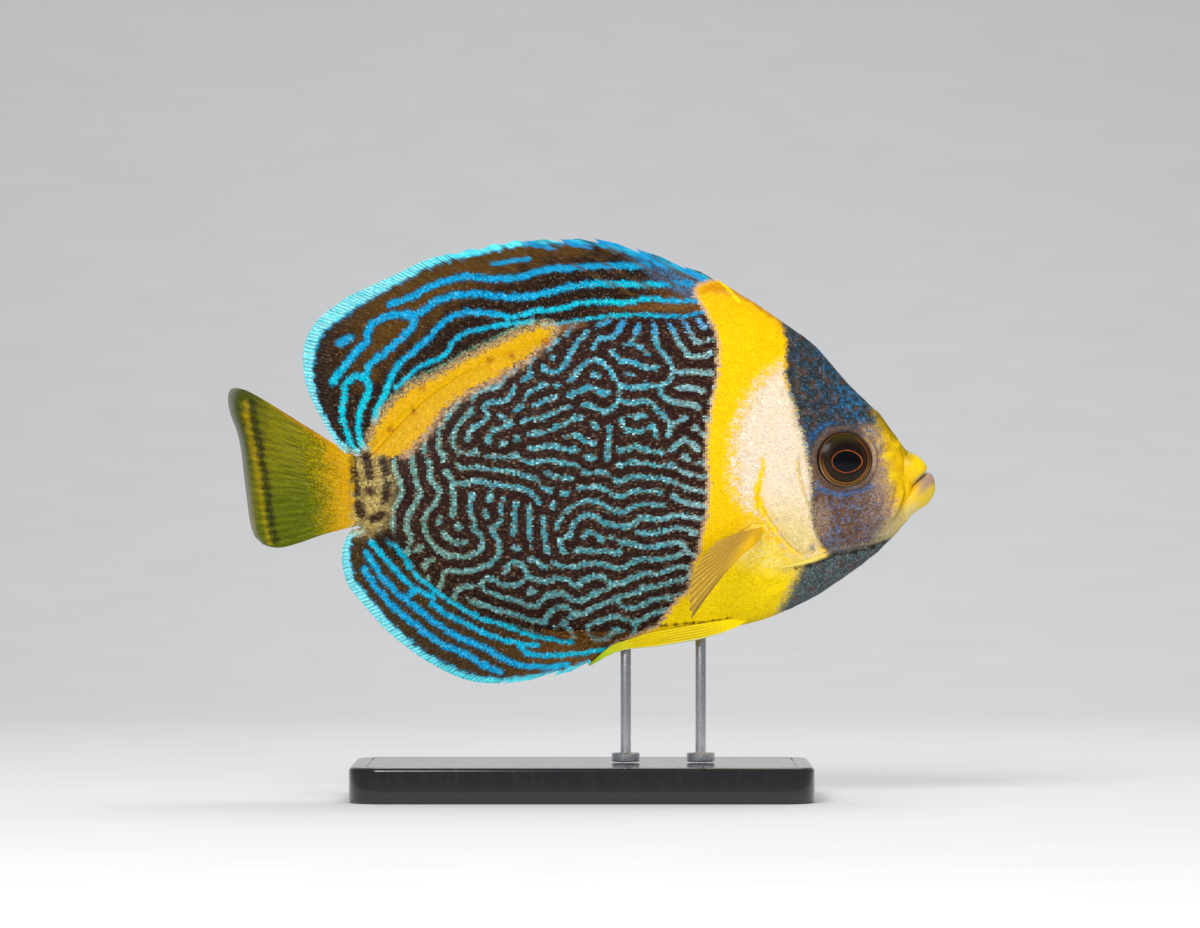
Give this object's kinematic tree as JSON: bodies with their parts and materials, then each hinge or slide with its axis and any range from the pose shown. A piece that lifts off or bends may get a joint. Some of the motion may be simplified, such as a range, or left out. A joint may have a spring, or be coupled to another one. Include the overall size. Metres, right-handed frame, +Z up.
{
  "type": "scribbled angelfish",
  "caption": "Life-size model of a scribbled angelfish swimming to the right, fins spread, tail swung a little aside, held on two rods above a plain black base.",
  "frame": {"origin": "centre of the underside of the stand's base", "axes": "+X towards the fish's head, +Y towards its left side, +Z up; the fish's length lies along X"},
  "size_m": [0.2006, 0.076, 0.1586],
  "materials": {
    "head_skin": "slate with a blue net and brown blotches, yellow towards the snout, finely scaled",
    "gill_cover_skin": "pale cream, finely scaled",
    "eye": "wet gloss, near black with thin orange rings",
    "shoulder_skin": "bright yellow, finely scaled",
    "body_skin": "dark brown with winding pale blue lines, scaled",
    "dorsal_fin": "brown membrane with long blue stripes and a cyan margin",
    "anal_fin": "brown membrane with long blue stripes and a cyan margin",
    "tail_fin": "yellow to olive membrane with a dark band near its rear edge",
    "pectoral_fin": "thin clear yellow membrane over fine rays",
    "pelvic_fin": "bright yellow with a pale lower edge",
    "stand_lacquer": "black satin lacquer",
    "stand_steel": "brushed"
  },
  "bodies": {
    "root": {"head": "head_skin", "upper_jaw": "head_skin", "lower_jaw": "head_skin", "gill_cover_right": "gill_cover_skin", "gill_cover_left": "gill_cover_skin", "eye_right": "eye", "eye_left": "eye", "shoulder": "shoulder_skin", "trunk": "body_skin", "tail_stem": "body_skin", "dorsal_fin_spiny": "dorsal_fin", "dorsal_fin_soft": "dorsal_fin", "anal_fin": "anal_fin", "tail_fin": "tail_fin", "pectoral_fin_right": "pectoral_fin", "pectoral_fin_left": "pectoral_fin", "pelvic_fin_right": "pelvic_fin", "pelvic_fin_left": "pelvic_fin", "stand_base": "stand_lacquer", "stand_collar_rear": "stand_steel", "stand_collar_front": "stand_steel", "stand_rod_rear": "stand_steel", "stand_rod_front": "stand_steel"}
  },
  "joints": []
}
